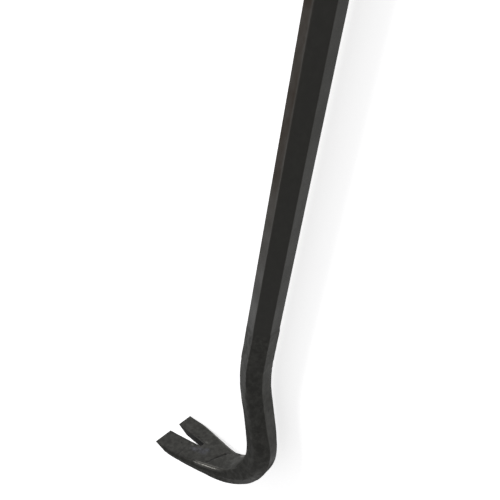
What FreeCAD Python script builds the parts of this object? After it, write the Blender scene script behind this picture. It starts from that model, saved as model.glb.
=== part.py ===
"""Gooseneck wrecking bar: one forging of hexagonal steel bar, with a nail claw on a hook and a chisel.

The bar lies on its side, and its hook and both blades bend in the level plane through its middle.
It is drawn in millimetres and degrees from the point on the shaft's axis where the gooseneck
starts: +X runs along the shaft to the chisel, +Y is the side that the claw points to, +Z is up.
The finished body is then moved so that the origin is below the middle of its bounding box, on
the surface that the bar lies on.
"""
import FreeCAD, Part
import math
import os
import Sketcher
from FreeCAD import Vector

# The driving sizes. Each is one cell of the sheet and is set by itself.
SIZES = {
    # hexagonal stock
    "across_flats": 19.0,
    "stock_round": 2.0,          # radius along the stock's six corners
    "shaft_run": 400.0,          # straight stock between the gooseneck and the chisel's bend
    # gooseneck: out to the back, then round the hook to the claw
    "neck_radius": 92.0,
    "neck_turn": 20.0,
    "neck_run": 30.0,
    "hook_radius": 40.0,
    "hook_turn": 108.0,
    "claw_run": 38.0,            # straight blade from the hook to the edge bevel
    "claw_bevel": 10.0,          # length of the bevel that sharpens the claw
    "claw_edge": 0.8,            # land left on the sharpened edge
    "claw_width": 40.0,
    "claw_flare": 66.0,          # length over which the claw widens to its edge
    "claw_thickness": 5.2,
    # nail slot in the claw
    "slot_length": 31.0,
    "slot_mouth": 10.0,
    "slot_root": 3.6,
    "slot_offset": 1.0,          # how far the slot sits below the bar's middle plane
    "slot_bevel": 1.2,           # width and depth of the bevel along the slot's upper edges
    # chisel end
    "chisel_radius": 90.0,
    "chisel_turn": 15.0,
    "chisel_run": 60.0,          # straight blade from the bend to the edge bevel
    "chisel_bevel": 14.0,
    "chisel_edge": 0.8,
    "chisel_width": 40.0,
    "chisel_flare": 90.0,
    "chisel_thickness": 5.6,
    # both blades
    "blade_inset": 0.5,          # how far a blade's flats stop short of its full width
    "blade_round": 1.2,          # radius along a blade's corners
}

HOOK_STEPS = 6                   # sections round the hook
SHOULDER_STEPS = 5               # sections over which the stock's slanted flats close up
CLAW_STEPS = 3                   # sections along the straight part of the claw
BEND_STEPS = 2                   # sections round the chisel's bend
CHISEL_STEPS = 4                 # sections along the chisel's straight part
CUT_MARGIN = 20.0                # how far a cut runs past the metal
BEVEL_LIFT = 1.0                 # how far above the claw's face the slot's bevel starts


# ------------------------------------------------------------------ places and sizes along the bar
def hook_place(turned):
    """x, y and heading on the hook once it has turned back by an angle from the neck's heading."""
    heading = f"(Sizes.neck_turn - ({turned}))"
    x = (f"-Sizes.neck_radius * sin(Sizes.neck_turn) - Sizes.neck_run * cos(Sizes.neck_turn)"
         f" - Sizes.hook_radius * (sin(Sizes.neck_turn) - sin({heading}))")
    y = (f"-Sizes.neck_radius * (1 - cos(Sizes.neck_turn)) - Sizes.neck_run * sin(Sizes.neck_turn)"
         f" + Sizes.hook_radius * (cos(Sizes.neck_turn) - cos({heading}))")
    return x, y, heading


def claw_place(distance):
    """x, y and heading on the claw's straight part, at a distance from the end of the hook."""
    x, y, heading = hook_place("Sizes.hook_turn")
    return f"{x} - ({distance}) * cos({heading})", f"{y} - ({distance}) * sin({heading})", heading


def bend_place(turned):
    """x, y and heading on the chisel's bend, where it has turned by an angle from the shaft."""
    x = f"Sizes.shaft_run + Sizes.chisel_radius * sin({turned})"
    y = f"Sizes.chisel_radius * (1 - cos({turned}))"
    return x, y, f"({turned})"


def blade_place(distance):
    """x, y and heading on the chisel's straight part, at a distance from the end of its bend."""
    x, y, heading = bend_place("Sizes.chisel_turn")
    return f"{x} + ({distance}) * cos({heading})", f"{y} + ({distance}) * sin({heading})", heading


def across(place):
    """Attachment offset from the YZ plane to the plane across the bar at a place."""
    x, y, heading = place
    return f"placement(vector({y}; 0; {x}); rotation(vector(0; 1; 0); {heading}))"


def along(place):
    """Attachment offset from the XY plane that turns its x axis back along the claw at a place."""
    x, y, heading = place
    return f"placement(vector({x}; {y}; 0); rotation(vector(0; 0; 1); {heading}))"


def eased(start, end, share):
    """From start to end as a share goes from 0 to 1, level at both ends."""
    return f"({start} + (({end}) - ({start})) * (1 - cos(180 * min(1; max(0; {share})))) / 2)"


def blade_section(blade, share, shoulder_share, from_edge):
    """Half thickness, half width, flat's inset and rounding of a section of the claw or the chisel."""
    stock_half_width = "Sizes.across_flats / sqrt(3)"
    return {
        "half_thickness": eased("Sizes.across_flats / 2", f"Sizes.{blade}_thickness / 2", share),
        "half_width": eased(stock_half_width, f"Sizes.{blade}_width / 2",
                            f"1 - ({from_edge}) / Sizes.{blade}_flare"),
        "inset": eased(f"{stock_half_width} / 2", "Sizes.blade_inset", shoulder_share),
        "rounding": eased("Sizes.stock_round", "Sizes.blade_round", share),
    }


STOCK_SECTION = {
    "half_thickness": "Sizes.across_flats / 2",
    "half_width": "Sizes.across_flats / sqrt(3)",
    "inset": "Sizes.across_flats / sqrt(3) / 2",
    "rounding": "Sizes.stock_round",
}


# ------------------------------------------------------------------------------------- sketches
def new_sketch(body, name, role, offset=None):
    """A sketch on one of the body's own origin planes, or set off from it by an expression."""
    sketch = body.newObject("Sketcher::SketchObject", name)
    plane = next(feature for feature in body.Origin.OriginFeatures if feature.Role == role)
    sketch.AttachmentSupport = (plane, [""])
    sketch.MapMode = "FlatFace"
    if offset:
        sketch.setExpression("AttachmentOffset", offset)
    return sketch


def fix(sketch, kind, name, expression, *where):
    """A dimension of a sketch that follows an expression of the sheet."""
    number = float(sketch.evalExpression(expression))
    sketch.addConstraint(Sketcher.Constraint(kind, *where, number))
    sketch.renameConstraint(sketch.ConstraintCount - 1, name)
    sketch.setExpression(f"Constraints.{name}", expression)


def add_section(body, name, offset, section):
    """A hexagon with rounded corners: flats at +-half_thickness, and corners at +-half_width."""
    sketch = new_sketch(body, name, "YZ_Plane", offset)
    depth, width, inset, rounding = (float(sketch.evalExpression(section[key]))
                                     for key in ("half_thickness", "half_width", "inset", "rounding"))
    flat = width - inset
    corners = [Vector(depth, -flat), Vector(depth, flat), Vector(0, width),
               Vector(-depth, flat), Vector(-depth, -flat), Vector(0, -width)]
    add_rounded_outline(sketch, corners, rounding)
    points = [sketch.addGeometry(Part.Point(corner), True) for corner in corners]
    for index, point in enumerate(points):
        sketch.addConstraint(Sketcher.Constraint("PointOnObject", point, 1, index))
        sketch.addConstraint(Sketcher.Constraint("PointOnObject", point, 1, (index - 1) % len(corners)))
    fix(sketch, "DistanceX", "depth_side", section["half_thickness"], -1, 1, points[1], 1)
    fix(sketch, "DistanceY", "flat_side", f"{section['half_width']} - {section['inset']}",
        -1, 1, points[1], 1)
    fix(sketch, "DistanceY", "ridge", section["half_width"], -1, 1, points[2], 1)
    sketch.addConstraint(Sketcher.Constraint("PointOnObject", points[2], 1, -2))
    sketch.addConstraint(Sketcher.Constraint("Symmetric", points[1], 1, points[0], 1, -1))
    sketch.addConstraint(Sketcher.Constraint("Symmetric", points[1], 1, points[3], 1, -2))
    sketch.addConstraint(Sketcher.Constraint("Symmetric", points[1], 1, points[4], 1, -1, 1))
    sketch.addConstraint(Sketcher.Constraint("Symmetric", points[2], 1, points[5], 1, -1, 1))
    fix(sketch, "Radius", "rounding", section["rounding"], len(corners))
    return sketch


def add_rounded_outline(sketch, corners, rounding):
    """Lines between the corners, then an arc of one radius tangent to its two lines at each corner."""
    count = len(corners)
    lines, arcs = [], []
    for index, corner in enumerate(corners):
        before, after = corners[index - 1], corners[(index + 1) % count]
        back, ahead = (before - corner).normalize(), (after - corner).normalize()
        half_corner = back.getAngle(ahead) / 2
        reach = rounding / math.tan(half_corner)
        centre = corner + (back + ahead).normalize() * (rounding / math.sin(half_corner))
        first, last = corner + back * reach, corner + ahead * reach
        arcs.append((centre, first, last))
    for index in range(count):
        lines.append(Part.LineSegment(arcs[index][2], arcs[(index + 1) % count][1]))
    sketch.addGeometry(lines, False)
    for centre, first, last in arcs:
        circle = Part.Circle(centre, Vector(0, 0, 1), rounding)
        start, end = (math.atan2(spot.y - centre.y, spot.x - centre.x) for spot in (first, last))
        sketch.addGeometry(Part.ArcOfCircle(circle, start, end), False)
    for index in range(count):
        arc = count + index
        sketch.addConstraint(Sketcher.Constraint("Tangent", (index - 1) % count, 2, arc, 1))
        sketch.addConstraint(Sketcher.Constraint("Tangent", arc, 2, index, 1))
        if index:
            sketch.addConstraint(Sketcher.Constraint("Equal", count, arc))


# ------------------------------------------------------------------------------------- features
def add_loft(body, name, places, sections):
    """A smooth loft through the sections, each standing across the bar at its place."""
    sketches = []
    for index, (place, section) in enumerate(zip(places, sections)):
        sketches.append(add_section(body, f"{name}Section{index}", across(place), section))
    body.Document.recompute()
    loft = body.newObject("PartDesign::AdditiveLoft", name)
    loft.Profile = sketches[0]
    loft.Sections = sketches[1:]
    body.Document.recompute()


def add_shaft(body):
    """The straight stock, from the start of the gooseneck to the chisel's bend."""
    sketch = add_section(body, "ShaftSection", None, STOCK_SECTION)
    shaft = body.newObject("PartDesign::Pad", "Shaft")
    shaft.Profile = sketch
    shaft.setExpression("Length", "Sizes.shaft_run")
    body.Document.recompute()


def add_neck(body):
    """The same section swept out to the back along an arc and a straight run."""
    path = new_sketch(body, "NeckPath", "XY_Plane")
    radius, turn, run = SIZES["neck_radius"], math.radians(SIZES["neck_turn"]), SIZES["neck_run"]
    circle = Part.Circle(Vector(0, -radius), Vector(0, 0, 1), radius)
    bend = path.addGeometry(Part.ArcOfCircle(circle, math.pi / 2, math.pi / 2 + turn), False)
    turned = Vector(-radius * math.sin(turn), -radius * (1 - math.cos(turn)))
    end = turned - Vector(math.cos(turn), math.sin(turn)) * run
    straight = path.addGeometry(Part.LineSegment(turned, end), False)
    path.addConstraint(Sketcher.Constraint("Coincident", bend, 1, -1, 1))
    path.addConstraint(Sketcher.Constraint("PointOnObject", bend, 3, -2))
    path.addConstraint(Sketcher.Constraint("Tangent", bend, 2, straight, 1))
    fix(path, "Radius", "bend_size", "Sizes.neck_radius", bend)
    fix(path, "Distance", "run_size", "Sizes.neck_run", straight)
    fix(path, "DistanceX", "bend_reach", "Sizes.neck_radius * sin(Sizes.neck_turn)", bend, 2, -1, 1)
    sketch = add_section(body, "NeckSection", None, STOCK_SECTION)
    body.Document.recompute()
    neck = body.newObject("PartDesign::AdditivePipe", "Neck")
    neck.Profile = sketch
    neck.Spine = (path, [])
    body.Document.recompute()


def add_hook_and_claw(body):
    """The hook, drawn down from the stock's hexagon, and the claw that flares out from it."""
    steps = HOOK_STEPS + CLAW_STEPS
    arc_length = "Sizes.hook_radius * Sizes.hook_turn * pi / 180"
    places, sections = [], []
    for step in range(HOOK_STEPS + 1):
        left = f"Sizes.claw_bevel + Sizes.claw_run + {arc_length} * {1 - step / HOOK_STEPS}"
        places.append(hook_place(f"Sizes.hook_turn * {step / HOOK_STEPS}"))
        sections.append(blade_section("claw", step / steps, step / SHOULDER_STEPS, left))
    for step in range(1, CLAW_STEPS + 1):
        left = f"Sizes.claw_bevel + Sizes.claw_run * {1 - step / CLAW_STEPS}"
        places.append(claw_place(f"Sizes.claw_run * {step / CLAW_STEPS}"))
        sections.append(blade_section("claw", (HOOK_STEPS + step) / steps, 1, left))
    places.append(claw_place("Sizes.claw_run + Sizes.claw_bevel"))
    sections.append(blade_section("claw", 1, 1, 0))
    add_loft(body, "Claw", places, sections)


def add_chisel(body):
    """The chisel, bent a little to the claw's side and drawn down to a wide blade."""
    steps = BEND_STEPS + CHISEL_STEPS
    arc_length = "Sizes.chisel_radius * Sizes.chisel_turn * pi / 180"
    places, sections = [], []
    for step in range(BEND_STEPS + 1):
        left = f"Sizes.chisel_bevel + Sizes.chisel_run + {arc_length} * {1 - step / BEND_STEPS}"
        places.append(bend_place(f"(Sizes.chisel_turn * {step / BEND_STEPS})"))
        sections.append(blade_section("chisel", step / steps, step / steps, left))
    for step in range(1, CHISEL_STEPS + 1):
        share = (BEND_STEPS + step) / steps
        left = f"Sizes.chisel_bevel + Sizes.chisel_run * {1 - step / CHISEL_STEPS}"
        places.append(blade_place(f"Sizes.chisel_run * {step / CHISEL_STEPS}"))
        sections.append(blade_section("chisel", share, share, left))
    places.append(blade_place("Sizes.chisel_run + Sizes.chisel_bevel"))
    sections.append(blade_section("chisel", 1, 1, 0))
    add_loft(body, "Chisel", places, sections)


# ------------------------------------------------------------------------------------- cuts
def add_cut(body, name, role, offset, points, depth, symmetric, taper=0.0):
    """Cut a straight-sided outline to a depth, to both sides of its plane or to its front only."""
    sketch = new_sketch(body, f"{name}Outline", role, offset)
    corners = [Vector(*(float(sketch.evalExpression(part)) for part in point)) for point in points]
    count = len(corners)
    for index, corner in enumerate(corners):
        sketch.addGeometry(Part.LineSegment(corner, corners[(index + 1) % count]), False)
    for index in range(count):
        sketch.addConstraint(Sketcher.Constraint("Coincident", index, 2, (index + 1) % count, 1))
    for index, (x, y) in enumerate(points):
        fix(sketch, "DistanceX", f"across{index}", x, -1, 1, index, 1)
        fix(sketch, "DistanceY", f"along{index}", y, -1, 1, index, 1)
    body.Document.recompute()
    before = body.Shape.Volume
    cut = body.newObject("PartDesign::Pocket", name)
    cut.Profile = sketch
    cut.SideType = "Symmetric" if symmetric else "One side"
    cut.Reversed = not symmetric
    cut.TaperAngle = taper
    cut.setExpression("Length", depth)
    body.Document.recompute()
    if body.Shape.Volume >= before:
        raise RuntimeError(f"{name} removed nothing")


def add_edge_bevels(body):
    """Sharpen each blade with one bevel: on the claw's outer face, and on the chisel's inner face."""
    margin = CUT_MARGIN
    for blade, place, side in (("claw", claw_place, -1), ("chisel", blade_place, 1)):
        half = f"Sizes.{blade}_thickness / 2"
        back = 1 if blade == "claw" else -1
        points = [
            (f"{back} * Sizes.{blade}_bevel", f"{side} * {half}"),
            ("0", f"{side} * (Sizes.{blade}_edge - {half})"),
            (f"{-back * margin}", f"{side} * (Sizes.{blade}_edge - {half})"),
            (f"{-back * margin}", f"{side} * ({half} + {margin})"),
        ]
        offset = along(place(f"Sizes.{blade}_run + Sizes.{blade}_bevel"))
        add_cut(body, f"{blade.title()}Bevel", "XY_Plane", offset, points,
                f"2 * Sizes.{blade}_width", symmetric=True)


def add_nail_slot(body):
    """The tapering slot that grips a nail's shank, with its upper edges broken for the nail's head."""
    x, y, heading = claw_place("Sizes.claw_run + Sizes.claw_bevel")
    taper = "(Sizes.slot_mouth - Sizes.slot_root) / 2 / Sizes.slot_length"
    bevel = f"(Sizes.slot_bevel + {BEVEL_LIFT})"
    above = f"(Sizes.claw_thickness / 2 + {BEVEL_LIFT})"
    for name, grow, lift, depth, symmetric, lean in (
            ("NailSlot", "0", "0", "4 * Sizes.claw_thickness", True, 0.0),
            ("NailSlotBevel", bevel, above, bevel, False, -45.0)):
        mouth = f"(Sizes.slot_mouth / 2 + {grow} + {taper} * {CUT_MARGIN})"
        root = f"(Sizes.slot_root / 2 + {grow})"
        points = [
            (f"{-CUT_MARGIN}", f"-Sizes.slot_offset - {mouth}"),
            (f"Sizes.slot_length + {grow}", f"-Sizes.slot_offset - {root}"),
            (f"Sizes.slot_length + {grow}", f"-Sizes.slot_offset + {root}"),
            (f"{-CUT_MARGIN}", f"-Sizes.slot_offset + {mouth}"),
        ]
        offset = (f"placement(vector({x} - {lift} * sin({heading}); 0;"
                  f" -({y} + {lift} * cos({heading}))); rotation(vector(0; 1; 0); {heading}))")
        add_cut(body, name, "XZ_Plane", offset, points, depth, symmetric, lean)


# ------------------------------------------------------------------------------------- the bar
def make_sheet(doc):
    """Put every driving size in the sheet, with its name as the cell's alias."""
    sheet = doc.addObject("Spreadsheet::Sheet", "Sizes")
    for row, (name, number) in enumerate(SIZES.items(), start=1):
        sheet.set(f"A{row}", name)
        sheet.set(f"B{row}", str(number))
        sheet.setAlias(f"B{row}", name)
    doc.recompute()


def tight_box(body):
    """The body's bounding box, measured on its faces without their tolerance."""
    return body.Shape.optimalBoundingBox(False, False)


def make_bar(doc):
    """The whole bar as one body, laid on its side over the origin."""
    body = doc.addObject("PartDesign::Body", "Bar")
    body.Label = "forged_bar"
    add_shaft(body)
    add_neck(body)
    add_hook_and_claw(body)
    add_chisel(body)
    add_edge_bevels(body)
    add_nail_slot(body)
    box = tight_box(body)
    body.Placement.Base = Vector(-box.Center.x, -box.Center.y, -box.ZMin)
    doc.recompute()
    return body


def check(doc, body):
    """Stop if any object failed, or if the bar isn't one valid solid."""
    for item in doc.Objects:
        if "Invalid" in item.State or "Error" in item.State:
            raise RuntimeError(f"{item.Label} failed: {item.State}")
    if body.Shape.isNull() or not body.Shape.isValid() or len(body.Shape.Solids) != 1:
        raise RuntimeError("the bar isn't one valid solid")


def main():
    doc = FreeCAD.newDocument("WreckingBar")
    make_sheet(doc)
    body = make_bar(doc)
    check(doc, body)
    os.makedirs("parts", exist_ok=True)
    body.Shape.exportStep(os.path.join("parts", f"{body.Label}.step"))
    box = tight_box(body)
    print(f"{body.Label}: {box.XLength:.1f} x {box.YLength:.1f} x {box.ZLength:.1f} mm,"
          f" {body.Shape.Volume:.0f} mm3")


if __name__ == "__main__":
    main()
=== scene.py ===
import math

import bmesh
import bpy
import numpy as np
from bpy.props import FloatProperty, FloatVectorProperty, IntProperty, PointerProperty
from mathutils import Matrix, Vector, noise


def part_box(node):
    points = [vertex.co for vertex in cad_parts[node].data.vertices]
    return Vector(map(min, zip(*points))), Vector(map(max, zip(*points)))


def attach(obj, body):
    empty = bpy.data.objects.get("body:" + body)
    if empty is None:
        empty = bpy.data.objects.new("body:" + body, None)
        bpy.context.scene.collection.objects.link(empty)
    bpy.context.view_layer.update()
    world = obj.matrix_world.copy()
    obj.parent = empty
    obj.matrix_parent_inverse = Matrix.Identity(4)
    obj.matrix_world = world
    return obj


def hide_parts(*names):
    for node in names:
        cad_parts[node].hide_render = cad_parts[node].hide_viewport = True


bl_info = {
    "name": "Gooseneck Wrecking Bar",
    "version": (1, 0, 0),
    "blender": (4, 5, 0),
    "location": "3D View > Sidebar > Wrecking Bar",
    "description": "Forges a gooseneck wrecking bar from hexagonal steel stock and lays it on a bench",
    "category": "Add Mesh",
}

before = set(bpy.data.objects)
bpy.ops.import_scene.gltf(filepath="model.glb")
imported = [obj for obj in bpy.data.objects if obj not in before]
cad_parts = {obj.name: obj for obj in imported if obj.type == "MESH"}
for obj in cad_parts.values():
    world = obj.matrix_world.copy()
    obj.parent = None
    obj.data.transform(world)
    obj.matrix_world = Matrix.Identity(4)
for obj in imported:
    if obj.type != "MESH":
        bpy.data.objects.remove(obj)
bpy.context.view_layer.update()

NODE = "forged_bar"
MM = 0.001


# ------------------------------------------------------------------------------- what a user sets
def length(name, default_mm, description):
    """A length in metres whose default is written in millimetres."""
    return FloatProperty(name=name, description=description, default=default_mm * MM,
                         unit="LENGTH", subtype="DISTANCE", precision=4)


def turn(name, degrees, description):
    """An angle whose default is written in degrees."""
    return FloatProperty(name=name, description=description, default=math.radians(degrees),
                         subtype="ANGLE", unit="ROTATION")


def colour(name, default, description):
    return FloatVectorProperty(name=name, description=description, default=default,
                               size=3, min=0.0, max=1.0, subtype="COLOR")


class WRECKBAR_PG_forging(bpy.types.PropertyGroup):
    """The sizes of the forging, as its drawing gives them."""
    across_flats: length("Across flats", 19.0, "Hexagonal stock, flat to flat")
    stock_round: length("Stock corner", 0.9, "Radius along the corners of the stock")
    shaft_run: length("Shaft", 398.4, "Straight stock between the gooseneck and the chisel's bend")
    neck_radius: length("Neck radius", 92.5, "Bend that takes the stock out to the back")
    neck_turn: turn("Neck turn", 19.67, "How far the neck leans to the back")
    neck_run: length("Neck run", 34.5, "Straight stretch between the neck's bend and the hook")
    hook_radius: length("Hook radius", 37.3, "Bend of the hook, on its middle line")
    hook_turn: turn("Hook turn", 95.7, "How far the hook turns before it eases out")
    sweep_radius: length("Sweep radius", 90.2, "Wider bend that eases the hook out into the claw")
    sweep_turn: turn("Sweep turn", 7.43, "How far the wider bend turns")
    claw_run: length("Claw run", 37.4, "Straight claw between the hook and the edge bevel")
    claw_bevel: length("Claw bevel", 10.0, "Length of the bevel under the claw's edge")
    claw_edge: length("Claw edge", 0.8, "Land left on the claw's edge")
    claw_width: length("Claw width", 40.7, "Across the two tines")
    claw_flare: length("Claw flare", 68.2, "Length over which the claw widens")
    claw_thickness: length("Claw thickness", 5.03, "Where the edge bevel starts")
    slot_length: length("Slot length", 32.0, "Depth of the nail slot")
    slot_mouth: length("Slot mouth", 10.0, "Width of the nail slot at the claw's edge")
    slot_root: length("Slot root", 3.6, "Width of the nail slot at its root")
    slot_offset: length("Slot offset", 1.0, "How far the slot sits below the bar's middle plane")
    chisel_radius: length("Chisel radius", 90.0, "Bend between the shaft and the chisel")
    chisel_turn: turn("Chisel turn", 15.0, "How far the chisel leans to the claw's side")
    chisel_run: length("Chisel run", 60.0, "Straight chisel between its bend and the edge bevel")
    chisel_bevel: length("Chisel bevel", 14.0, "Length of the chisel's edge bevel")
    chisel_edge: length("Chisel edge", 0.8, "Land left on the chisel's edge")
    chisel_width: length("Chisel width", 40.0, "Width of the chisel's edge")
    chisel_flare: length("Chisel flare", 90.0, "Length over which the chisel widens")
    chisel_thickness: length("Chisel thickness", 5.6, "Where the chisel's edge bevel starts")
    blade_inset: length("Blade side", 0.6, "How far a blade's flats stop short of its widest line")
    die_line: length("Die line", 28.0, "How far up the shaft from the gooseneck the forging dies reached")
    hammer_depth: length("Hammering", 0.16, "Depth of the shallow dents left by the dies")
    seed: IntProperty(name="Seed", description="Which pattern of dents and scale", default=7)


class WRECKBAR_PG_finish(bpy.types.PropertyGroup):
    """The colours of the steel's surface."""
    scale: colour("Scale", (0.016, 0.016, 0.0145), "Dark forging scale")
    worn: colour("Worn scale", (0.027, 0.027, 0.024), "Scale rubbed thin, with an olive cast")
    rust: colour("Brown film", (0.026, 0.018, 0.012), "Thin brown film on the shaft")
    bare: colour("Bare steel", (0.42, 0.41, 0.38), "Steel rubbed bright where the bar is levered on")
    blued: colour("Blued patch", (0.052, 0.053, 0.066), "Heat-blued smear at the slot")


class WRECKBAR_PG_stage(bpy.types.PropertyGroup):
    """The bench, the lights and the camera."""
    floor: colour("Floor", (0.93, 0.93, 0.93), "Pale bench top")
    lens: FloatProperty(name="Lens", description="Focal length on a 36 mm sensor, in millimetres",
                        default=35.0, unit="CAMERA")
    place: FloatVectorProperty(name="Camera place", description="Where the camera stands",
                               default=(0.0222, -0.1540, 0.2499), size=3, subtype="TRANSLATION",
                               unit="LENGTH")
    aim: FloatVectorProperty(name="Camera direction", description="The way the camera looks",
                             default=(-0.4365, 0.5052, -0.7463), size=3, subtype="DIRECTION")
    roll: turn("Camera roll", 9.36, "How far the camera is rolled from the shaft's direction")


# ------------------------------------------------------------------------------- the middle line
class MiddleLine:
    """The bar's middle line from the chisel's edge to the claw's edge, in the level plane.

    Distances run along it. A heading of 0 points along -X, and a positive heading leans to -Y.
    """

    STEP = 0.2 * MM
    EASE = 7.0 * MM              # length over which a bend begins and ends

    def __init__(self, sizes):
        lead = sizes.chisel_bevel + sizes.chisel_run
        legs = [
            (lead, 0.0),
            (sizes.chisel_radius * sizes.chisel_turn, -sizes.chisel_turn),
            (sizes.shaft_run, 0.0),
            (sizes.neck_radius * sizes.neck_turn, sizes.neck_turn),
            (sizes.neck_run, 0.0),
            (sizes.hook_radius * sizes.hook_turn, -sizes.hook_turn),
            (sizes.sweep_radius * sizes.sweep_turn, -sizes.sweep_turn),
            (sizes.claw_run + sizes.claw_bevel, 0.0),
        ]
        marks = np.cumsum([0.0] + [leg for leg, _ in legs])
        headings = np.cumsum([sizes.chisel_turn] + [bend for _, bend in legs])
        _, _, self.shaft_start, self.neck_start, _, self.hook_start, _, _, self.end = marks
        self.far = np.arange(0.0, self.end + self.STEP, self.STEP)
        sharp = np.interp(self.far, marks, headings)
        half = int(self.EASE / self.STEP)
        kernel = np.hanning(2 * half + 1)
        padded = np.pad(sharp, half, mode="edge")
        self.turned = np.convolve(padded, kernel / kernel.sum(), mode="valid")
        middle = (self.turned[1:] + self.turned[:-1]) / 2
        self.x = np.concatenate([[0.0], np.cumsum(-np.cos(middle) * self.STEP)])
        self.y = np.concatenate([[0.0], np.cumsum(-np.sin(middle) * self.STEP)])

    def at(self, distance):
        """x, y and heading at each distance."""
        return tuple(np.interp(distance, self.far, values) for values in (self.x, self.y, self.turned))


def ease(share):
    """0 to 1 with level ends, as a share goes from 0 to 1."""
    return (1 - np.cos(np.pi * np.clip(share, 0.0, 1.0))) / 2


def blend(start, end, share):
    return start + (end - start) * ease(share)


def share_of(distance, start, end):
    return (distance - start) / (end - start)


def bump(distance, centre, reach):
    """1 at the centre, falling smoothly to 0 at its reach."""
    return ease(1 - np.abs(distance - centre) / reach)


def plateau(distance, rise, fall):
    """0, then 1, then 0 again: it rises over the first (start, end) and falls over the second."""
    return ease(share_of(distance, *rise)) * (1 - ease(share_of(distance, *fall)))


# ------------------------------------------------------------------------------- cross sections
class Sections:
    """The rounded hexagon at each distance: a blade's section is the same hexagon, flat and wide."""

    ARC = 6                      # points on each rounded corner
    FLAT_SHARE = 0.45            # a corner's arc takes at most this share of the flats beside it
    FLATS = (52, 12, 12, 26, 12, 12)   # points on: inner flat, two slants, outer flat, two slants
    TINE_RUN = 9.5 * MM          # the tines are at full width this far from their edge
    BLADE_ROUND = 0.5 * MM       # radius along a blade's corners
    HOOK_ROUND = 1.4 * MM        # radius along the hook's inner corners
    HEEL_ROUND = 6.0 * MM        # how much softer the ridges are hammered round the heel
    DIE_PROUD = 0.4 * MM         # how far the outer side stands out below the die line
    DIE_STEP = 2.5 * MM          # length of the step at the die line

    # The stretches and bumps below are placed by their distance into the hook.
    THINS = (-6.6 * MM, 5.1 * MM)                 # from here to this far short of the claw's edge
    INNER_CLOSES = (-25.3 * MM, 56.0 * MM)        # where the inner flat widens to the whole claw
    OUTER_CLOSES = (24.0 * MM, 69.2 * MM)         # where the outer flat does
    HEEL_PINCH = (1.4 * MM, 10.4 * MM, 28 * MM)   # outer flat narrowed: amount, middle, reach
    HEEL_RIDGE = (2.2 * MM, 26 * MM, 34 * MM)     # ridges pushed outward: amount, middle, reach
    HOOK_ROUNDS = (0.0, 40 * MM)                  # where the inner corners grow round
    TINES_SHARPEN = (80 * MM, 116 * MM)           # where they sharpen again
    LEVERED = (1.8 * MM, 74 * MM, 27 * MM)        # where they are worn rounder: amount, middle, reach
    OUTER_SHARPENS = (30 * MM, 70 * MM)           # where the outer corners sharpen
    HEEL_SOFTENS = (-50 * MM, -36 * MM)           # where the ridges grow soft
    HEEL_SHARPENS = (12 * MM, 56 * MM)            # where they sharpen again
    DIE_MARK_ENDS = (10 * MM, 50 * MM)            # where the outer side sinks back

    def __init__(self, sizes, line, distance):
        self.sizes, self.line, self.distance = sizes, line, distance
        stock_wide = sizes.across_flats / math.sqrt(3)
        into_hook = distance - line.hook_start
        to_claw = share_of(into_hook, self.THINS[0], line.end - self.THINS[1] - line.hook_start)
        to_chisel = (line.shaft_start - distance) / (line.shaft_start - sizes.chisel_bevel)
        chisel = to_chisel > 0
        thick = blend(sizes.across_flats, sizes.claw_thickness, to_claw)
        thick = np.where(chisel, blend(sizes.across_flats, sizes.chisel_thickness, to_chisel), thick)
        claw_open = 1 - (line.end - distance - self.TINE_RUN) / sizes.claw_flare
        chisel_open = 1 - distance / sizes.chisel_flare
        wide = blend(stock_wide, sizes.claw_width / 2, claw_open)
        wide = np.where(chisel, blend(stock_wide, sizes.chisel_width / 2, chisel_open), wide)
        inner_close = np.where(chisel, to_chisel, share_of(into_hook, *self.INNER_CLOSES))
        outer_close = np.where(chisel, to_chisel, share_of(into_hook, *self.OUTER_CLOSES))
        self.inner = thick / 2
        self.outer = thick / 2
        self.wide = wide
        self.inner_flat = wide - blend(stock_wide / 2, sizes.blade_inset, inner_close)
        self.outer_flat = wide - blend(stock_wide / 2, sizes.blade_inset, outer_close)
        self.outer_flat = self.outer_flat - self.HEEL_PINCH[0] * bump(into_hook, *self.HEEL_PINCH[1:])
        self.bevel_edges()
        self.add_die_mark(into_hook)
        middle = (self.inner - self.outer) / 2
        self.ridge = middle - self.HEEL_RIDGE[0] * bump(into_hook, *self.HEEL_RIDGE[1:])
        self.rounding = self.corner_rounding(into_hook, to_chisel)

    def corner_rounding(self, into_hook, to_chisel):
        """Radius of each of the six corners: the ridge is hammered soft round the heel."""
        stock = self.sizes.stock_round
        inner = blend(stock, self.HOOK_ROUND, share_of(into_hook, *self.HOOK_ROUNDS))
        inner = blend(inner, self.BLADE_ROUND, share_of(into_hook, *self.TINES_SHARPEN))
        inner = inner + self.LEVERED[0] * bump(into_hook, *self.LEVERED[1:])
        ridge = stock + self.HEEL_ROUND * plateau(into_hook, self.HEEL_SOFTENS, self.HEEL_SHARPENS)
        outer = blend(stock, self.BLADE_ROUND, share_of(into_hook, *self.OUTER_SHARPENS))
        chisel = blend(stock, self.BLADE_ROUND, to_chisel)
        inner, ridge, outer = (np.where(to_chisel > 0, chisel, radius) for radius in (inner, ridge, outer))
        return np.stack([inner, inner, ridge, outer, outer, ridge], axis=1)

    def bevel_edges(self):
        """Thin the claw from its outer face, and the chisel from its inner face, to their edges."""
        sizes, line = self.sizes, self.line
        claw = np.clip(1 - (line.end - self.distance) / sizes.claw_bevel, 0.0, 1.0)
        chisel = np.clip(1 - self.distance / sizes.chisel_bevel, 0.0, 1.0)
        self.outer = self.outer - claw * (sizes.claw_thickness - sizes.claw_edge)
        self.inner = self.inner - chisel * (sizes.chisel_thickness - sizes.chisel_edge)

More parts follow.
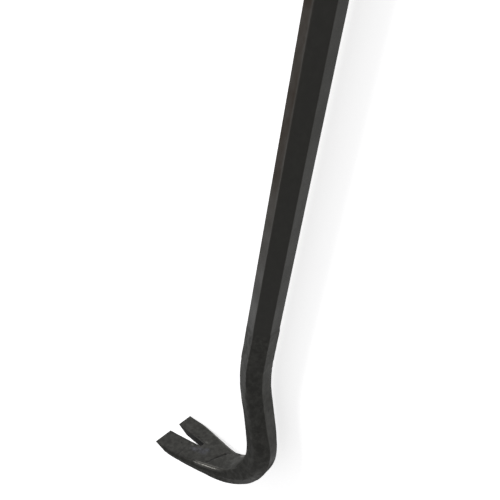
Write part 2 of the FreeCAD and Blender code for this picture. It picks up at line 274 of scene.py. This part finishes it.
    def add_die_mark(self, into_hook):
        """Below the die line the dies left the outer side a little proud, with a step."""
        step = self.line.neck_start - self.sizes.die_line - self.line.hook_start
        pressed = plateau(into_hook, (step, step + self.DIE_STEP), self.DIE_MARK_ENDS)
        self.outer = self.outer + self.DIE_PROUD * pressed

    def corners(self):
        """Six corners of each section as (depth to the inner side, height), anticlockwise."""
        depths = [self.inner, self.inner, self.ridge, -self.outer, -self.outer, self.ridge]
        heights = [-self.inner_flat, self.inner_flat, self.wide,
                   self.outer_flat, -self.outer_flat, -self.wide]
        return np.stack([np.stack(depths, axis=1), np.stack(heights, axis=1)], axis=2)

    def rounded(self):
        """Points round each section, and the way each faces: six corner arcs with flats between."""
        points = self.corners()
        back, back_length = self.directions(points, np.roll(points, 1, axis=1))
        ahead, ahead_length = self.directions(points, np.roll(points, -1, axis=1))
        half_corner = np.arccos(np.clip((back * ahead).sum(axis=2, keepdims=True), -1, 1)) / 2
        reach = self.rounding[:, :, None] / np.tan(half_corner)
        reach = np.minimum(reach, self.FLAT_SHARE * np.minimum(back_length, ahead_length))
        radius = reach * np.tan(half_corner)
        inward, _ = self.directions(np.zeros_like(points), back + ahead)
        centre = points + inward * radius / np.sin(half_corner)
        leaves, arrives = points + ahead * reach, points + back * reach
        ring = []
        for corner in range(6):
            ring += self.arc(centre[:, corner], radius[:, corner], -inward[:, corner],
                             np.pi / 2 - half_corner[:, corner])
            ring += self.flat(leaves[:, corner], arrives[:, (corner + 1) % 6], ahead[:, corner],
                              self.FLATS[corner])
        spots, outwards = zip(*ring)
        return np.stack(spots, axis=1), np.stack(outwards, axis=1)

    @staticmethod
    def directions(points, others):
        """Unit vectors from each point to another, and their distances."""
        gaps = others - points
        lengths = np.linalg.norm(gaps, axis=2, keepdims=True)
        return gaps / lengths, lengths

    def arc(self, centre, radius, out, swing):
        """Points of one corner's arc in every section: it swings to both sides of the way out."""
        points = []
        for step in range(self.ARC):
            angle = swing * (2 * step / (self.ARC - 1) - 1)
            cos, sin = np.cos(angle), np.sin(angle)
            spoke = np.concatenate([out[:, :1] * cos - out[:, 1:] * sin,
                                    out[:, :1] * sin + out[:, 1:] * cos], axis=1)
            points.append((centre + spoke * radius, spoke))
        return points

    @staticmethod
    def flat(start, end, along, inside):
        """Evenly spaced points inside one flat in every section."""
        outward = np.stack([along[:, 1], -along[:, 0]], axis=1)
        return [(start + (end - start) * step / (inside + 1), outward) for step in range(1, inside + 1)]

    def corner_marks(self):
        """For each point round a section: the number of its corner, or -1 on a flat."""
        marks = []
        for corner in range(6):
            marks += [corner] * self.ARC + [-1] * self.FLATS[corner]
        return np.array(marks)


# ------------------------------------------------------------------------------- surface detail
WAVE_SHIFT = (3.1, 1.7, 2.3)             # how far one seed's waves lie from the next one's
WAVE_SMOOTHNESS = 0.6                    # higher leaves less in the finer waves
WAVE_STEP = 2.0                          # each finer layer of waves is this many times finer
PIT_SHIFT = (1.3, 2.9, 0.7)              # what WAVE_SHIFT is, for pits
PIT_RADIUS = 0.42                        # of the pits' spacing
PIT_ROUND = 0.7                          # below 1 makes a pit's floor flatter
PIT_SPREAD = 17.0                        # moves pits' centres apart, so that each draws its own number


def fractal_field(points, size, seed, octaves=3):
    """Smooth noise at each point, about -1 to 1, with features of one size in metres."""
    shift = Vector([seed * step for step in WAVE_SHIFT])
    return np.array([noise.fractal(Vector(point) / size + shift, WAVE_SMOOTHNESS, WAVE_STEP, octaves)
                     for point in points])


def pit_field(points, spacing, seed, chance):
    """Round pits scattered over the surface: 1 in the middle of a pit and 0 outside it."""
    shift = Vector([seed * step for step in PIT_SHIFT])
    depths = np.zeros(len(points))
    for index, point in enumerate(points):
        distances, centres = noise.voronoi(Vector(point) / spacing + shift)
        drawn = noise.cell(centres[0] * PIT_SPREAD) * 0.5 + 0.5
        if drawn < chance:
            depths[index] = max(0.0, 1 - distances[0] / PIT_RADIUS) ** PIT_ROUND
    return depths


def near_line(spots, route):
    """Distance from each spot to a line through a route of points."""
    nearest = np.full(len(spots), np.inf)
    for start, end in zip(route[:-1], route[1:]):
        along = end - start
        share = np.clip(((spots - start) @ along) / (along @ along), 0.0, 1.0)
        nearest = np.minimum(nearest, np.linalg.norm(spots - start - share[:, None] * along, axis=1))
    return nearest


def spot_mark(spots, centre, radii):
    """1 at the centre of an oval spot, falling to 0 at its radii, which are in mm as its centre is."""
    away = (spots - np.array(centre) * MM) / (np.array(radii) * MM)
    return ease(1 - np.linalg.norm(away, axis=1))


class ClawMarks:
    """Marks on the claw's inner face. Every size and (distance back from the edge, height) is in mm."""

    LAP = ((47.2, 10.5), (48.7, 9.0), (49.7, 4.0), (52.7, -1.5), (54.2, -4.5))
    LAP_DEPTH, LAP_REACH = 0.42, 0.95
    SCRATCH = ((23.7, 18.0), (23.2, 11.5))
    SCRATCH_DEPTH, SCRATCH_REACH = 0.15, 0.7
    # Pits as place, radius and depth.
    PITS = (((54.2, -4.5), 1.4, 0.8), ((23.7, -6.0), 1.3, 0.6), ((28.0, -5.2), 1.2, 0.4),
            ((16.7, 7.4), 1.0, 0.3), ((57.5, -6.8), 0.9, 0.35))
    # Oval patches as place and radii.
    BLUED = (((30.0, 6.0), (5.5, 3.6)), ((36.0, 4.0), (7.5, 4.2)), ((39.0, 0.5), (4.0, 3.2)))
    BRIGHT = (((32.7, -5.6), (2.2, 1.3)), ((72.7, -7.5), (4.0, 2.2)), ((25.5, 3.5), (2.0, 0.9)))

    def __init__(self, back, height, inner_face):
        self.spots = np.stack([back, height], axis=1)
        self.inner_face = inner_face

    def depth(self):
        """How deep the lap, the scratch and the pits go."""
        depth = np.maximum(self.groove(self.LAP, self.LAP_DEPTH, self.LAP_REACH),
                           self.groove(self.SCRATCH, self.SCRATCH_DEPTH, self.SCRATCH_REACH))
        for centre, radius, deep in self.PITS:
            depth = np.maximum(depth, deep * MM * spot_mark(self.spots, centre, (radius, radius)))
        return depth * self.inner_face

    def groove(self, route, deep, reach):
        """Depth of a V-shaped groove that runs along a route."""
        away = near_line(self.spots, np.array(route) * MM)
        return deep * MM * np.clip(1 - away / (reach * MM), 0.0, 1.0)

    def cover(self, patches):
        """How strongly a set of oval patches covers each point."""
        covered = np.zeros(len(self.spots))
        for centre, radii in patches:
            covered = np.maximum(covered, spot_mark(self.spots, centre, radii))
        return covered * self.inner_face


# ------------------------------------------------------------------------------- the forging's mesh
class Forging:
    """The whole bar as one mesh, with a point on it for every detail that has a real shape."""

    # Distances between sections.
    FINE = 0.8 * MM
    MEDIUM = 1.6 * MM
    COARSE = 4.0 * MM
    FINE_LEAD = 25 * MM                      # the fine ones start this far before the die line

    NUDGE = (0.15 * MM, 0.8 * MM, 0.0)       # from the middle of the CAD part's box

    # Sizes of the surface's unevenness.
    BROAD_DENTS = 14 * MM
    CLOSE_DENTS = 3.5 * MM
    PIT_SPACING = 3.2 * MM
    PIT_CHANCE = 0.22
    BROAD_SHARE, CLOSE_SHARE, PIT_SHARE = 0.9, 0.45, 0.9     # of the hammering's depth
    DRAWN_WAVE = 0.03 * MM                   # depth of the waves left in the drawn stock
    EDGE_FADE = 3 * MM                       # both edges stay straight over this length
    WORK_FADES = 6 * MM                      # length over which the hammering starts at the die line
    CHISEL_FADES = 20 * MM                   # and from the shaft to the chisel

    # The struck patch, by its distance into the hook.
    STRUCK_DEPTH = 0.30 * MM
    STRUCK_GRAIN = 1.5 * MM
    STRUCK_RISE = (-38 * MM, -34 * MM)
    STRUCK_FALL = (2 * MM, 7 * MM)
    STRUCK_BEHIND = -1.5 * MM                # it keeps to the outer side of this depth
    STRUCK_ABOVE = 0.30                      # and above this share of the stock's width
    STRUCK_CONTRAST, STRUCK_BIAS = 2.2, 0.2  # turn the waves into separate dents

    # Where the claw's inner corners are rubbed bright, back from the edge.
    UPPER_RISE, UPPER_FALL = (37 * MM, 43 * MM), (42 * MM, 76 * MM)
    LOWER_RISE, LOWER_FALL = (10 * MM, 20 * MM), (55 * MM, 70 * MM)
    LOWER_SHARE = 0.5

    def __init__(self, sizes):
        self.sizes = sizes
        self.line = MiddleLine(sizes)
        self.distance = self.ring_distances()
        sections = Sections(sizes, self.line, self.distance)
        self.spots, self.outwards = sections.rounded()
        self.corner = sections.corner_marks()
        self.place()

    def ring_distances(self):
        line, sizes = self.line, self.sizes
        worked = line.neck_start - sizes.die_line - self.FINE_LEAD
        marks = [(0.0, sizes.chisel_bevel, self.MEDIUM),
                 (sizes.chisel_bevel, line.shaft_start, self.MEDIUM),
                 (line.shaft_start, worked, self.COARSE),
                 (worked, line.end - sizes.claw_bevel, self.FINE),
                 (line.end - sizes.claw_bevel, line.end, self.FINE)]
        stretches = [np.linspace(start, end, max(2, round((end - start) / step)), endpoint=False)
                     for start, end, step in marks]
        return np.concatenate(stretches + [[line.end]])

    def place(self):
        """Every ring point in space, with its outward direction, set on the CAD part's box."""
        x, y, heading = self.line.at(self.distance)
        inner = np.stack([-np.sin(heading), np.cos(heading), np.zeros_like(heading)], axis=1)
        middle = np.stack([x, y, np.zeros_like(x)], axis=1)
        upward = np.array([0.0, 0.0, 1.0])
        self.points = (middle[:, None] + inner[:, None] * self.spots[:, :, :1]
                       + upward * self.spots[:, :, 1:])
        self.normals = inner[:, None] * self.outwards[:, :, :1] + upward * self.outwards[:, :, 1:]
        low, high = self.points.min(axis=(0, 1)), self.points.max(axis=(0, 1))
        cad_low, cad_high = (np.array(corner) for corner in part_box(NODE))
        self.shift = (cad_low + cad_high - low - high) / 2 + np.array(self.NUDGE)
        self.points = self.points + self.shift

    def dent(self):
        """Push the surface in where the dies and the scale left it uneven, and rest it on the bench."""
        flat_points = self.points.reshape(-1, 3)
        reach = np.repeat(self.distance, self.points.shape[1])
        worked = self.how_worked(reach)
        depth = self.unevenness(flat_points, worked) - self.struck_marks(reach, flat_points)
        inner_face = self.spots[:, :, 0].reshape(-1) > self.sizes.claw_edge / 3
        marks = ClawMarks(self.line.end - reach, self.spots[:, :, 1].reshape(-1), inner_face)
        fade = ease((self.line.end - reach) / self.EDGE_FADE) * ease(reach / self.EDGE_FADE)
        crease = marks.depth()
        moved = flat_points + self.normals.reshape(-1, 3) * (depth * fade - crease)[:, None]
        moved[:, 2] -= moved[:, 2].min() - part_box(NODE)[0][2]
        rings = self.points.shape[:2]
        self.points = moved.reshape(self.points.shape)
        self.crease = crease.reshape(rings)
        self.worked = worked.reshape(rings)
        self.blued = marks.cover(ClawMarks.BLUED).reshape(rings)
        self.bright = marks.cover(ClawMarks.BRIGHT).reshape(rings)

    def how_worked(self, reach):
        """1 in the two forged ends and 0 on the drawn stock between them."""
        hook_end = ease((reach - self.line.neck_start + self.sizes.die_line) / self.WORK_FADES)
        chisel_end = ease((self.line.shaft_start - reach) / self.CHISEL_FADES)
        return np.maximum(hook_end, chisel_end)

    def unevenness(self, flat_points, worked):
        """How far the surface stands out: hammered and pitted where worked, faintly waved elsewhere."""
        seed = self.sizes.seed
        broad = fractal_field(flat_points, self.BROAD_DENTS, seed)
        close = fractal_field(flat_points, self.CLOSE_DENTS, seed + 1)
        pits = pit_field(flat_points, self.PIT_SPACING, seed + 2, self.PIT_CHANCE)
        hammered = self.BROAD_SHARE * broad + self.CLOSE_SHARE * close - self.PIT_SHARE * pits
        return worked * self.sizes.hammer_depth * hammered + (1 - worked) * self.DRAWN_WAVE * broad

    def struck_marks(self, reach, flat_points):
        """Depth of a patch of close, shallow dents on the upper back slant, just above the heel."""
        patch = plateau(reach - self.line.hook_start, self.STRUCK_RISE, self.STRUCK_FALL)
        depth, height = self.spots[:, :, 0].reshape(-1), self.spots[:, :, 1].reshape(-1)
        slant = (depth < self.STRUCK_BEHIND) & (height > self.sizes.across_flats * self.STRUCK_ABOVE)
        dents = fractal_field(flat_points, self.STRUCK_GRAIN, self.sizes.seed + 5, 2)
        dents = np.clip(dents * self.STRUCK_CONTRAST + self.STRUCK_BIAS, 0.0, 1.0)
        return patch * slant * dents * self.STRUCK_DEPTH

    def mesh(self):
        rings, around = self.points.shape[:2]
        mesh = bpy.data.meshes.new("forged_bar_steel")
        index = np.arange(rings * around).reshape(rings, around)
        ahead, beside = index[1:], np.roll(index, -1, axis=1)
        quads = np.stack([index[:-1], ahead, beside[1:], beside[:-1]], axis=2).reshape(-1, 4)
        faces = quads.tolist()
        faces.append(index[0].tolist())
        faces.append(index[-1][::-1].tolist())
        mesh.from_pydata(self.points.reshape(-1, 3).tolist(), [], faces)
        self.add_fields(mesh)
        mesh.validate()
        return mesh

    def rubbed(self):
        """How much each point is rubbed bright: the claw's inner corners, where bars are levered."""
        back = self.line.end - self.distance
        upper = plateau(back, self.UPPER_RISE, self.UPPER_FALL)
        lower = self.LOWER_SHARE * plateau(back, self.LOWER_RISE, self.LOWER_FALL)
        corners = upper[:, None] * (self.corner == 1) + lower[:, None] * (self.corner == 0)
        return np.maximum(corners, self.bright)

    def add_fields(self, mesh):
        """Values that the finish reads at each point: where it is, and how it was worked and marked."""
        around = self.points.shape[1]
        back = np.repeat((self.line.end - self.distance)[:, None], around, axis=1)
        fields = {
            "from_edge": back,
            "depth": self.spots[:, :, 0],
            "worked": self.worked,
            "crease": self.crease / MM,
            "rubbed": self.rubbed(),
            "blued": self.blued,
        }
        for name, values in fields.items():
            field = mesh.attributes.new(name, "FLOAT", "POINT")
            field.data.foreach_set("value", values.reshape(-1).astype(np.float32))


def slot_cutter(forging):
    """The wedge that cuts the nail slot, drafted a little, and the middle of the slot's root."""
    sizes, line = forging.sizes, forging.line
    x, y, heading = (float(values) for values in line.at(line.end))
    back = Vector((math.cos(heading), math.sin(heading), 0.0))
    inner = Vector((-math.sin(heading), math.cos(heading), 0.0))
    edge = Vector((x, y, 0.0)) + Vector(forging.shift)
    margin = 6 * MM                          # how far the wedge starts beyond the edge
    through = 12 * MM                        # how far it runs past the blade's middle
    draft = 0.3 * MM                         # how far each side leans out over that length
    point = 0.4 * MM                         # how far the wedge's blunt point stands out
    grow = (sizes.slot_mouth - sizes.slot_root) / 2 / sizes.slot_length
    mouth, root = sizes.slot_mouth / 2 + grow * margin, sizes.slot_root / 2
    build = bmesh.new()
    for depth, wider in ((-through, -draft), (through, draft)):
        outline = [(-margin, -mouth - wider), (sizes.slot_length, -root - wider),
                   (sizes.slot_length + point, 0.0),
                   (sizes.slot_length, root + wider), (-margin, mouth + wider)]
        for along, height in outline:
            build.verts.new(edge + back * along + inner * depth
                            + Vector((0, 0, height - sizes.slot_offset)))
    build.verts.ensure_lookup_table()
    sides = len(build.verts) // 2
    low, high = list(build.verts)[:sides], list(build.verts)[sides:]
    build.faces.new(low)
    build.faces.new(high[::-1])
    for index in range(sides):
        following = (index + 1) % sides
        build.faces.new((low[following], low[index], high[index], high[following]))
    bmesh.ops.recalc_face_normals(build, faces=build.faces)
    mesh = bpy.data.meshes.new("nail_slot_wedge")
    build.to_mesh(mesh)
    build.free()
    root_spot = edge + back * sizes.slot_length + inner * sizes.claw_thickness / 2
    root_spot.z -= sizes.slot_offset
    return bpy.data.objects.new("nail_slot_wedge", mesh), root_spot


def cut_away(piece, cutter):
    """Cut one closed shape out of the piece for good, and delete the cutter.

    The piece is divided into triangles first, because its four-sided faces aren't quite flat.
    """
    bpy.context.scene.collection.objects.link(cutter)
    piece.modifiers.new("flat_faces", "TRIANGULATE")
    cut = piece.modifiers.new("cut", "BOOLEAN")
    cut.operation = "DIFFERENCE"
    cut.solver = "EXACT"
    cut.material_mode = "TRANSFER"
    cut.object = cutter
    evaluated = piece.evaluated_get(bpy.context.evaluated_depsgraph_get())
    mesh = bpy.data.meshes.new_from_object(evaluated)
    piece.modifiers.clear()
    spent = (piece.data, cutter.data)
    piece.data = mesh
    bpy.data.objects.remove(cutter, do_unlink=True)
    for unused in spent:
        bpy.data.meshes.remove(unused)


# ------------------------------------------------------------------------------- the steel's finish
class Nodes:
    """Short names for the few kinds of node that the finish is made of."""

    def __init__(self, tree):
        self.tree = tree

    def feed(self, socket, value):
        """Give a socket a constant, or wire it to another node."""
        if isinstance(value, (int, float, tuple)):
            socket.default_value = value
        else:
            self.wire(value, socket)

    def add(self, kind, **settings):
        node = self.tree.nodes.new(kind)
        for name, setting in settings.items():
            setattr(node, name, setting)
        return node

    def wire(self, source, target):
        self.tree.links.new(source, target)

    def field(self, name):
        return self.add("ShaderNodeAttribute", attribute_name=name).outputs["Fac"]

    def maths(self, operation, first, second):
        node = self.add("ShaderNodeMath", operation=operation)
        for socket, value in zip(node.inputs, (first, second)):
            self.feed(socket, value)
        return node.outputs[0]

    def noise(self, vector, scale, detail=4.0, roughness=0.55):
        node = self.add("ShaderNodeTexNoise")
        node.inputs["Scale"].default_value = scale
        node.inputs["Detail"].default_value = detail
        node.inputs["Roughness"].default_value = roughness
        self.wire(vector, node.inputs["Vector"])
        return node.outputs["Fac"]

    def range(self, value, low, high, to_low=0.0, to_high=1.0):
        node = self.add("ShaderNodeMapRange", interpolation_type="SMOOTHSTEP")
        self.wire(value, node.inputs["Value"])
        for name, number in (("From Min", low), ("From Max", high), ("To Min", to_low), ("To Max", to_high)):
            node.inputs[name].default_value = number
        return node.outputs["Result"]

    def mix(self, share, first, second):
        """Blend two colours."""
        node = self.add("ShaderNodeMix", data_type="RGBA")
        for name, value in (("Factor", share), ("A", first), ("B", second)):
            self.feed(node.inputs[name], value)
        return node.outputs["Result"]

    def overlay(self, share, under, over):
        """Blend two shaders."""
        node = self.add("ShaderNodeMixShader")
        for socket, source in zip(node.inputs, (share, under, over)):
            self.wire(source, socket)
        return node.outputs["Shader"]

    def coat(self, tone, relief, index):
        """A Principled shader with its colour, relief and index of refraction set."""
        shader = self.add("ShaderNodeBsdfPrincipled")
        self.feed(shader.inputs["Base Color"], tone)
        self.wire(relief, shader.inputs["Normal"])
        shader.inputs["IOR"].default_value = index
        return shader

    def show(self, shader):
        """Send a shader to the material's output."""
        self.wire(shader, self.add("ShaderNodeOutputMaterial").inputs["Surface"])


# Near black: the creases and pits are darkened with it, and it is the painted shade round the nail slot's
# root.
CREASE_AND_PAINTED_SHADE_BLACK = (0.004, 0.004, 0.004, 1.0)
OIL_TINT = (1.0, 0.98, 0.92, 1.0)        # the warm cast that an oily film gives the sheen

# How fine the finish's patterns are, in waves to the metre.
PATCH_SCALE = 55.0
MOTTLE_SCALE = 260.0
SLOT_MOTTLE_SCALE = 500.0
GRAIN_SCALE = 1400.0

BARE_SHARE = 0.17                        # how much bare steel shows where it is rubbed most


def opaque(rgb):
    return (rgb[0], rgb[1], rgb[2], 1.0)


def blank_material(name):
    material = bpy.data.materials.new(name)
    material.use_nodes = True
    material.node_tree.nodes.clear()
    return material, Nodes(material.node_tree)


def steel_finish(finish):
    """Dark forging scale: mottled and pitted where the dies worked it, smoother on the drawn stock."""
    material, make = blank_material("forged_steel_scale")
    place = make.add("ShaderNodeTexCoord").outputs["Object"]
    worked, rubbed = make.field("worked"), make.field("rubbed")
    patches = make.noise(place, PATCH_SCALE, 3.0)
    mottle = make.noise(place, MOTTLE_SCALE, 5.0, 0.6)
    grain = make.noise(place, GRAIN_SCALE, 3.0, 0.7)
    film = brown_film(make, patches)
    tone = steel_colour(make, finish, film, mottle, worked)
    relief = steel_relief(make, mottle, grain, worked)
    glossy = make.coat(tone, relief, index=1.40)
    glossy.inputs["Specular Tint"].default_value = OIL_TINT
    make.wire(steel_roughness(make, patches, grain, worked, rubbed), glossy.inputs["Roughness"])
    dull = make.coat(tone, relief, index=1.05)
    dull.inputs["Roughness"].default_value = 0.9
    bare = make.coat(opaque(finish.bare), relief, index=1.45)
    bare.inputs["Metallic"].default_value = 1.0
    bare.inputs["Roughness"].default_value = 0.30
    scale = make.overlay(steel_dullness(make, film, mottle, worked), glossy.outputs["BSDF"],
                         dull.outputs["BSDF"])
    make.show(make.overlay(make.maths("MULTIPLY", rubbed, BARE_SHARE), scale, bare.outputs["BSDF"]))
    return material


def steel_roughness(make, patches, grain, worked, rubbed):
    """Rougher in patches, in the grain and where it was worked, and smoother where it is rubbed."""
    rough = make.maths("ADD", make.range(patches, 0.3, 0.7, 0.38, 0.50),
                       make.range(grain, 0.3, 0.7, -0.04, 0.06))
    rough = make.maths("ADD", rough, make.maths("MULTIPLY", worked, 0.08))
    return make.maths("SUBTRACT", rough, make.maths("MULTIPLY", rubbed, 0.25))


def brown_film(make, patches):
    """A brown film that grows up the shaft, on the side that faces the claw."""
    up_shaft = make.range(make.field("from_edge"), 225 * MM, 340 * MM)
    claw_side = make.range(make.field("depth"), -1 * MM, 3 * MM)
    return make.maths("MULTIPLY", make.maths("MULTIPLY", up_shaft, claw_side),
                      make.range(patches, 0.25, 0.65, 0.6, 1.0))


def steel_colour(make, finish, film, mottle, worked):
    """Scale colours: olive where worn, brown up the shaft, blue at the slot's root, black in creases."""
    shade = make.maths("MULTIPLY", make.range(mottle, 0.35, 0.75),
                       make.range(worked, 0.0, 1.0, 0.35, 1.0))
    tone = make.mix(shade, opaque(finish.scale), opaque(finish.worn))
    tone = make.mix(film, tone, opaque(finish.rust))
    smear = make.maths("MULTIPLY", make.field("blued"), make.range(mottle, 0.30, 0.52, 0.2, 1.0))
    tone = make.mix(smear, tone, opaque(finish.blued))
    black = make.range(make.field("crease"), 0.01, 0.13)
    return make.mix(black, tone, CREASE_AND_PAINTED_SHADE_BLACK)


def steel_relief(make, mottle, grain, worked):
    """Fine relief: pocks from the scale in the forged end and only a little grain on the stock."""
    pocks = make.maths("MULTIPLY", mottle, make.range(worked, 0.0, 1.0, 0.15, 1.0))
    height = make.maths("ADD", pocks, make.maths("MULTIPLY", grain, 0.35))
    relief = make.add("ShaderNodeBump")
    relief.inputs["Strength"].default_value = 0.5
    relief.inputs["Distance"].default_value = 0.12 * MM
    make.wire(height, relief.inputs["Height"])
    return relief.outputs["Normal"]


def steel_dullness(make, film, mottle, worked):
    """Scale is dull where it is thick, on the outer flat, and where the surface turns away."""
    turning = make.add("ShaderNodeLayerWeight")
    turning.inputs["Blend"].default_value = 0.5
    edge = make.range(turning.outputs["Facing"], 0.58, 0.92, 0.0, 0.9)
    thick = make.maths("MULTIPLY", worked, make.range(mottle, 0.35, 0.65, 0.30, 0.0))
    outer_flat = make.range(make.field("depth"), -9.3 * MM, -8.8 * MM, 0.22, 0.0)
    covered = make.maths("MAXIMUM", thick, make.maths("MULTIPLY", film, 0.66))
    covered = make.maths("MAXIMUM", covered, outer_flat)
    return make.maths("MAXIMUM", edge, covered)


def slot_finish(finish, root):
    """The punched walls of the nail slot: bare dark scale, with painted shade, near black, round the slot's
    root.
    """
    material, make = blank_material("nail_slot_scale_and_painted_shade")
    place = make.add("ShaderNodeTexCoord").outputs["Object"]
    away = make.add("ShaderNodeVectorMath", operation="DISTANCE")
    make.wire(place, away.inputs[0])
    away.inputs[1].default_value = root
    # Painted shade: the walls are near black within 4 mm of the slot's root and fade back to scale by 22 mm.
    out_of_painted_shade = make.range(away.outputs["Value"], 4 * MM, 22 * MM)
    mottle = make.noise(place, SLOT_MOTTLE_SCALE)
    tone = make.mix(mottle, opaque(finish.scale), opaque(finish.worn))
    tone = make.mix(out_of_painted_shade, CREASE_AND_PAINTED_SHADE_BLACK, tone)
    shader = make.coat(tone, steel_relief(make, mottle, mottle, out_of_painted_shade), index=1.30)
    shader.inputs["Roughness"].default_value = 0.55
    make.show(shader.outputs["BSDF"])
    return material


# ------------------------------------------------------------------------------- operators
class WRECKBAR_OT_forge_bar(bpy.types.Operator):
    """Forge the bar: draw its mesh along the middle line, dent it, cut the nail slot and finish it"""
    bl_idname = "wreckbar.forge_bar"
    bl_label = "Forge the Bar"

    SHARP_ANGLE = math.radians(34)           # edges sharper than this stay crisp

    def execute(self, context):
        forging = Forging(context.scene.wreckbar_forging)
        forging.dent()
        bar = bpy.data.objects.new("wrecking_bar", forging.mesh())
        context.scene.collection.objects.link(bar)
        finish = context.scene.wreckbar_finish
        bar.data.materials.append(steel_finish(finish))
        wedge, root = slot_cutter(forging)
        wedge.data.materials.append(slot_finish(finish, root))
        cut_away(bar, wedge)
        bar.data.shade_smooth()
        bar.data.set_sharp_from_angle(angle=self.SHARP_ANGLE)
        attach(bar, "root")
        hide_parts(NODE)
        return {"FINISHED"}


class WRECKBAR_OT_set_stage(bpy.types.Operator):
    """Set out the pale bench top, the soft studio light and the camera"""
    bl_idname = "wreckbar.set_stage"
    bl_label = "Set the Stage"

    BENCH_HALF = 3.0                         # half of the bench top's side
    BENCH_GLOW = 0.60                        # emission that keeps the bench top white in the shade
    WALL_LIT, WALL_SHADED = (1.0, 1.0, 1.0, 1.0), (0.45, 0.43, 0.40, 1.0)
    CEILING = (0.64, 0.64, 0.65, 1.0)
    SURROUND_STRENGTH = 0.74
    KEY_PLACE = (0.86, 1.03, 1.34)
    KEY_SIDE = 0.45
    KEY_POWER = 13.0

    def execute(self, context):
        stage = context.scene.wreckbar_stage
        self.add_floor(context, stage)
        self.add_surround(context)
        self.add_key(context)
        self.add_camera(context, stage)
        context.scene.view_settings.view_transform = "Standard"
        return {"FINISHED"}

    def add_floor(self, context, stage):
        half = self.BENCH_HALF
        mesh = bpy.data.meshes.new("bench_top")
        corners = [(-half, -half, 0), (half, -half, 0), (half, half, 0), (-half, half, 0)]
        mesh.from_pydata(corners, [], [(0, 1, 2, 3)])
        floor = bpy.data.objects.new("bench_top", mesh)
        context.scene.collection.objects.link(floor)
        material = bpy.data.materials.new("bench_paint")
        material.use_nodes = True
        shader = material.node_tree.nodes["Principled BSDF"]
        shader.inputs["Base Color"].default_value = opaque(stage.floor)
        shader.inputs["Roughness"].default_value = 0.9
        shader.inputs["Specular IOR Level"].default_value = 0.1
        shader.inputs["Emission Color"].default_value = (1.0, 1.0, 1.0, 1.0)
        shader.inputs["Emission Strength"].default_value = self.BENCH_GLOW
        mesh.materials.append(material)

    def add_surround(self, context):
        """A surround that is white at bench height, shaded to one side and grey overhead."""
        world = bpy.data.worlds.new("studio")
        world.use_nodes = True
        context.scene.world = world
        make = Nodes(world.node_tree)
        background = world.node_tree.nodes["Background"]
        split = make.add("ShaderNodeSeparateXYZ")
        make.wire(make.add("ShaderNodeTexCoord").outputs["Generated"], split.inputs["Vector"])
        rising = make.range(split.outputs["Z"], 0.05, 0.65)
        beside = make.range(split.outputs["X"], -0.80, 0.10)
        wall = make.mix(beside, self.WALL_LIT, self.WALL_SHADED)
        tone = make.mix(rising, wall, self.CEILING)
        make.wire(tone, background.inputs["Color"])
        background.inputs["Strength"].default_value = self.SURROUND_STRENGTH

    def add_key(self, context):
        light = bpy.data.lights.new("key_softbox", "AREA")
        light.shape = "SQUARE"
        light.size = self.KEY_SIDE
        light.energy = self.KEY_POWER
        lamp = bpy.data.objects.new("key_softbox", light)
        lamp.location = self.KEY_PLACE
        lamp.rotation_euler = (-Vector(self.KEY_PLACE)).to_track_quat("-Z", "Y").to_euler()
        context.scene.collection.objects.link(lamp)

    def add_camera(self, context, stage):
        camera = bpy.data.cameras.new("camera")
        camera.lens = stage.lens
        camera.clip_start = 0.01
        eye = bpy.data.objects.new("camera", camera)
        look = Vector(stage.aim).normalized()
        shaft = Vector((1.0, 0.0, 0.0))
        upward = (shaft - look * shaft.dot(look)).normalized()
        upward = Matrix.Rotation(-stage.roll, 3, look) @ upward
        sideways = look.cross(upward)
        turned = Matrix((sideways, upward, -look)).transposed().to_4x4()
        eye.matrix_world = Matrix.Translation(Vector(stage.place)) @ turned
        context.scene.collection.objects.link(eye)
        context.scene.camera = eye


class WRECKBAR_PT_panel(bpy.types.Panel):
    """Everything needed to make the bar, in order"""
    bl_idname = "WRECKBAR_PT_panel"
    bl_label = "Wrecking Bar"
    bl_space_type = "VIEW_3D"
    bl_region_type = "UI"
    bl_category = "Wrecking Bar"

    def draw(self, context):
        column = self.layout.column()
        for group in (context.scene.wreckbar_forging, context.scene.wreckbar_finish,
                      context.scene.wreckbar_stage):
            box = column.box()
            for name in group.__annotations__:
                box.prop(group, name)
        column.operator(WRECKBAR_OT_forge_bar.bl_idname)
        column.operator(WRECKBAR_OT_set_stage.bl_idname)


CLASSES = (WRECKBAR_PG_forging, WRECKBAR_PG_finish, WRECKBAR_PG_stage,
           WRECKBAR_OT_forge_bar, WRECKBAR_OT_set_stage, WRECKBAR_PT_panel)


def register():
    for item in CLASSES:
        bpy.utils.register_class(item)
    bpy.types.Scene.wreckbar_forging = PointerProperty(type=WRECKBAR_PG_forging)
    bpy.types.Scene.wreckbar_finish = PointerProperty(type=WRECKBAR_PG_finish)
    bpy.types.Scene.wreckbar_stage = PointerProperty(type=WRECKBAR_PG_stage)


def unregister():
    del bpy.types.Scene.wreckbar_stage
    del bpy.types.Scene.wreckbar_finish
    del bpy.types.Scene.wreckbar_forging
    for item in reversed(CLASSES):
        bpy.utils.unregister_class(item)


def main():
    register()
    bpy.ops.wreckbar.forge_bar()
    bpy.ops.wreckbar.set_stage()


if __name__ == "__main__":
    main()
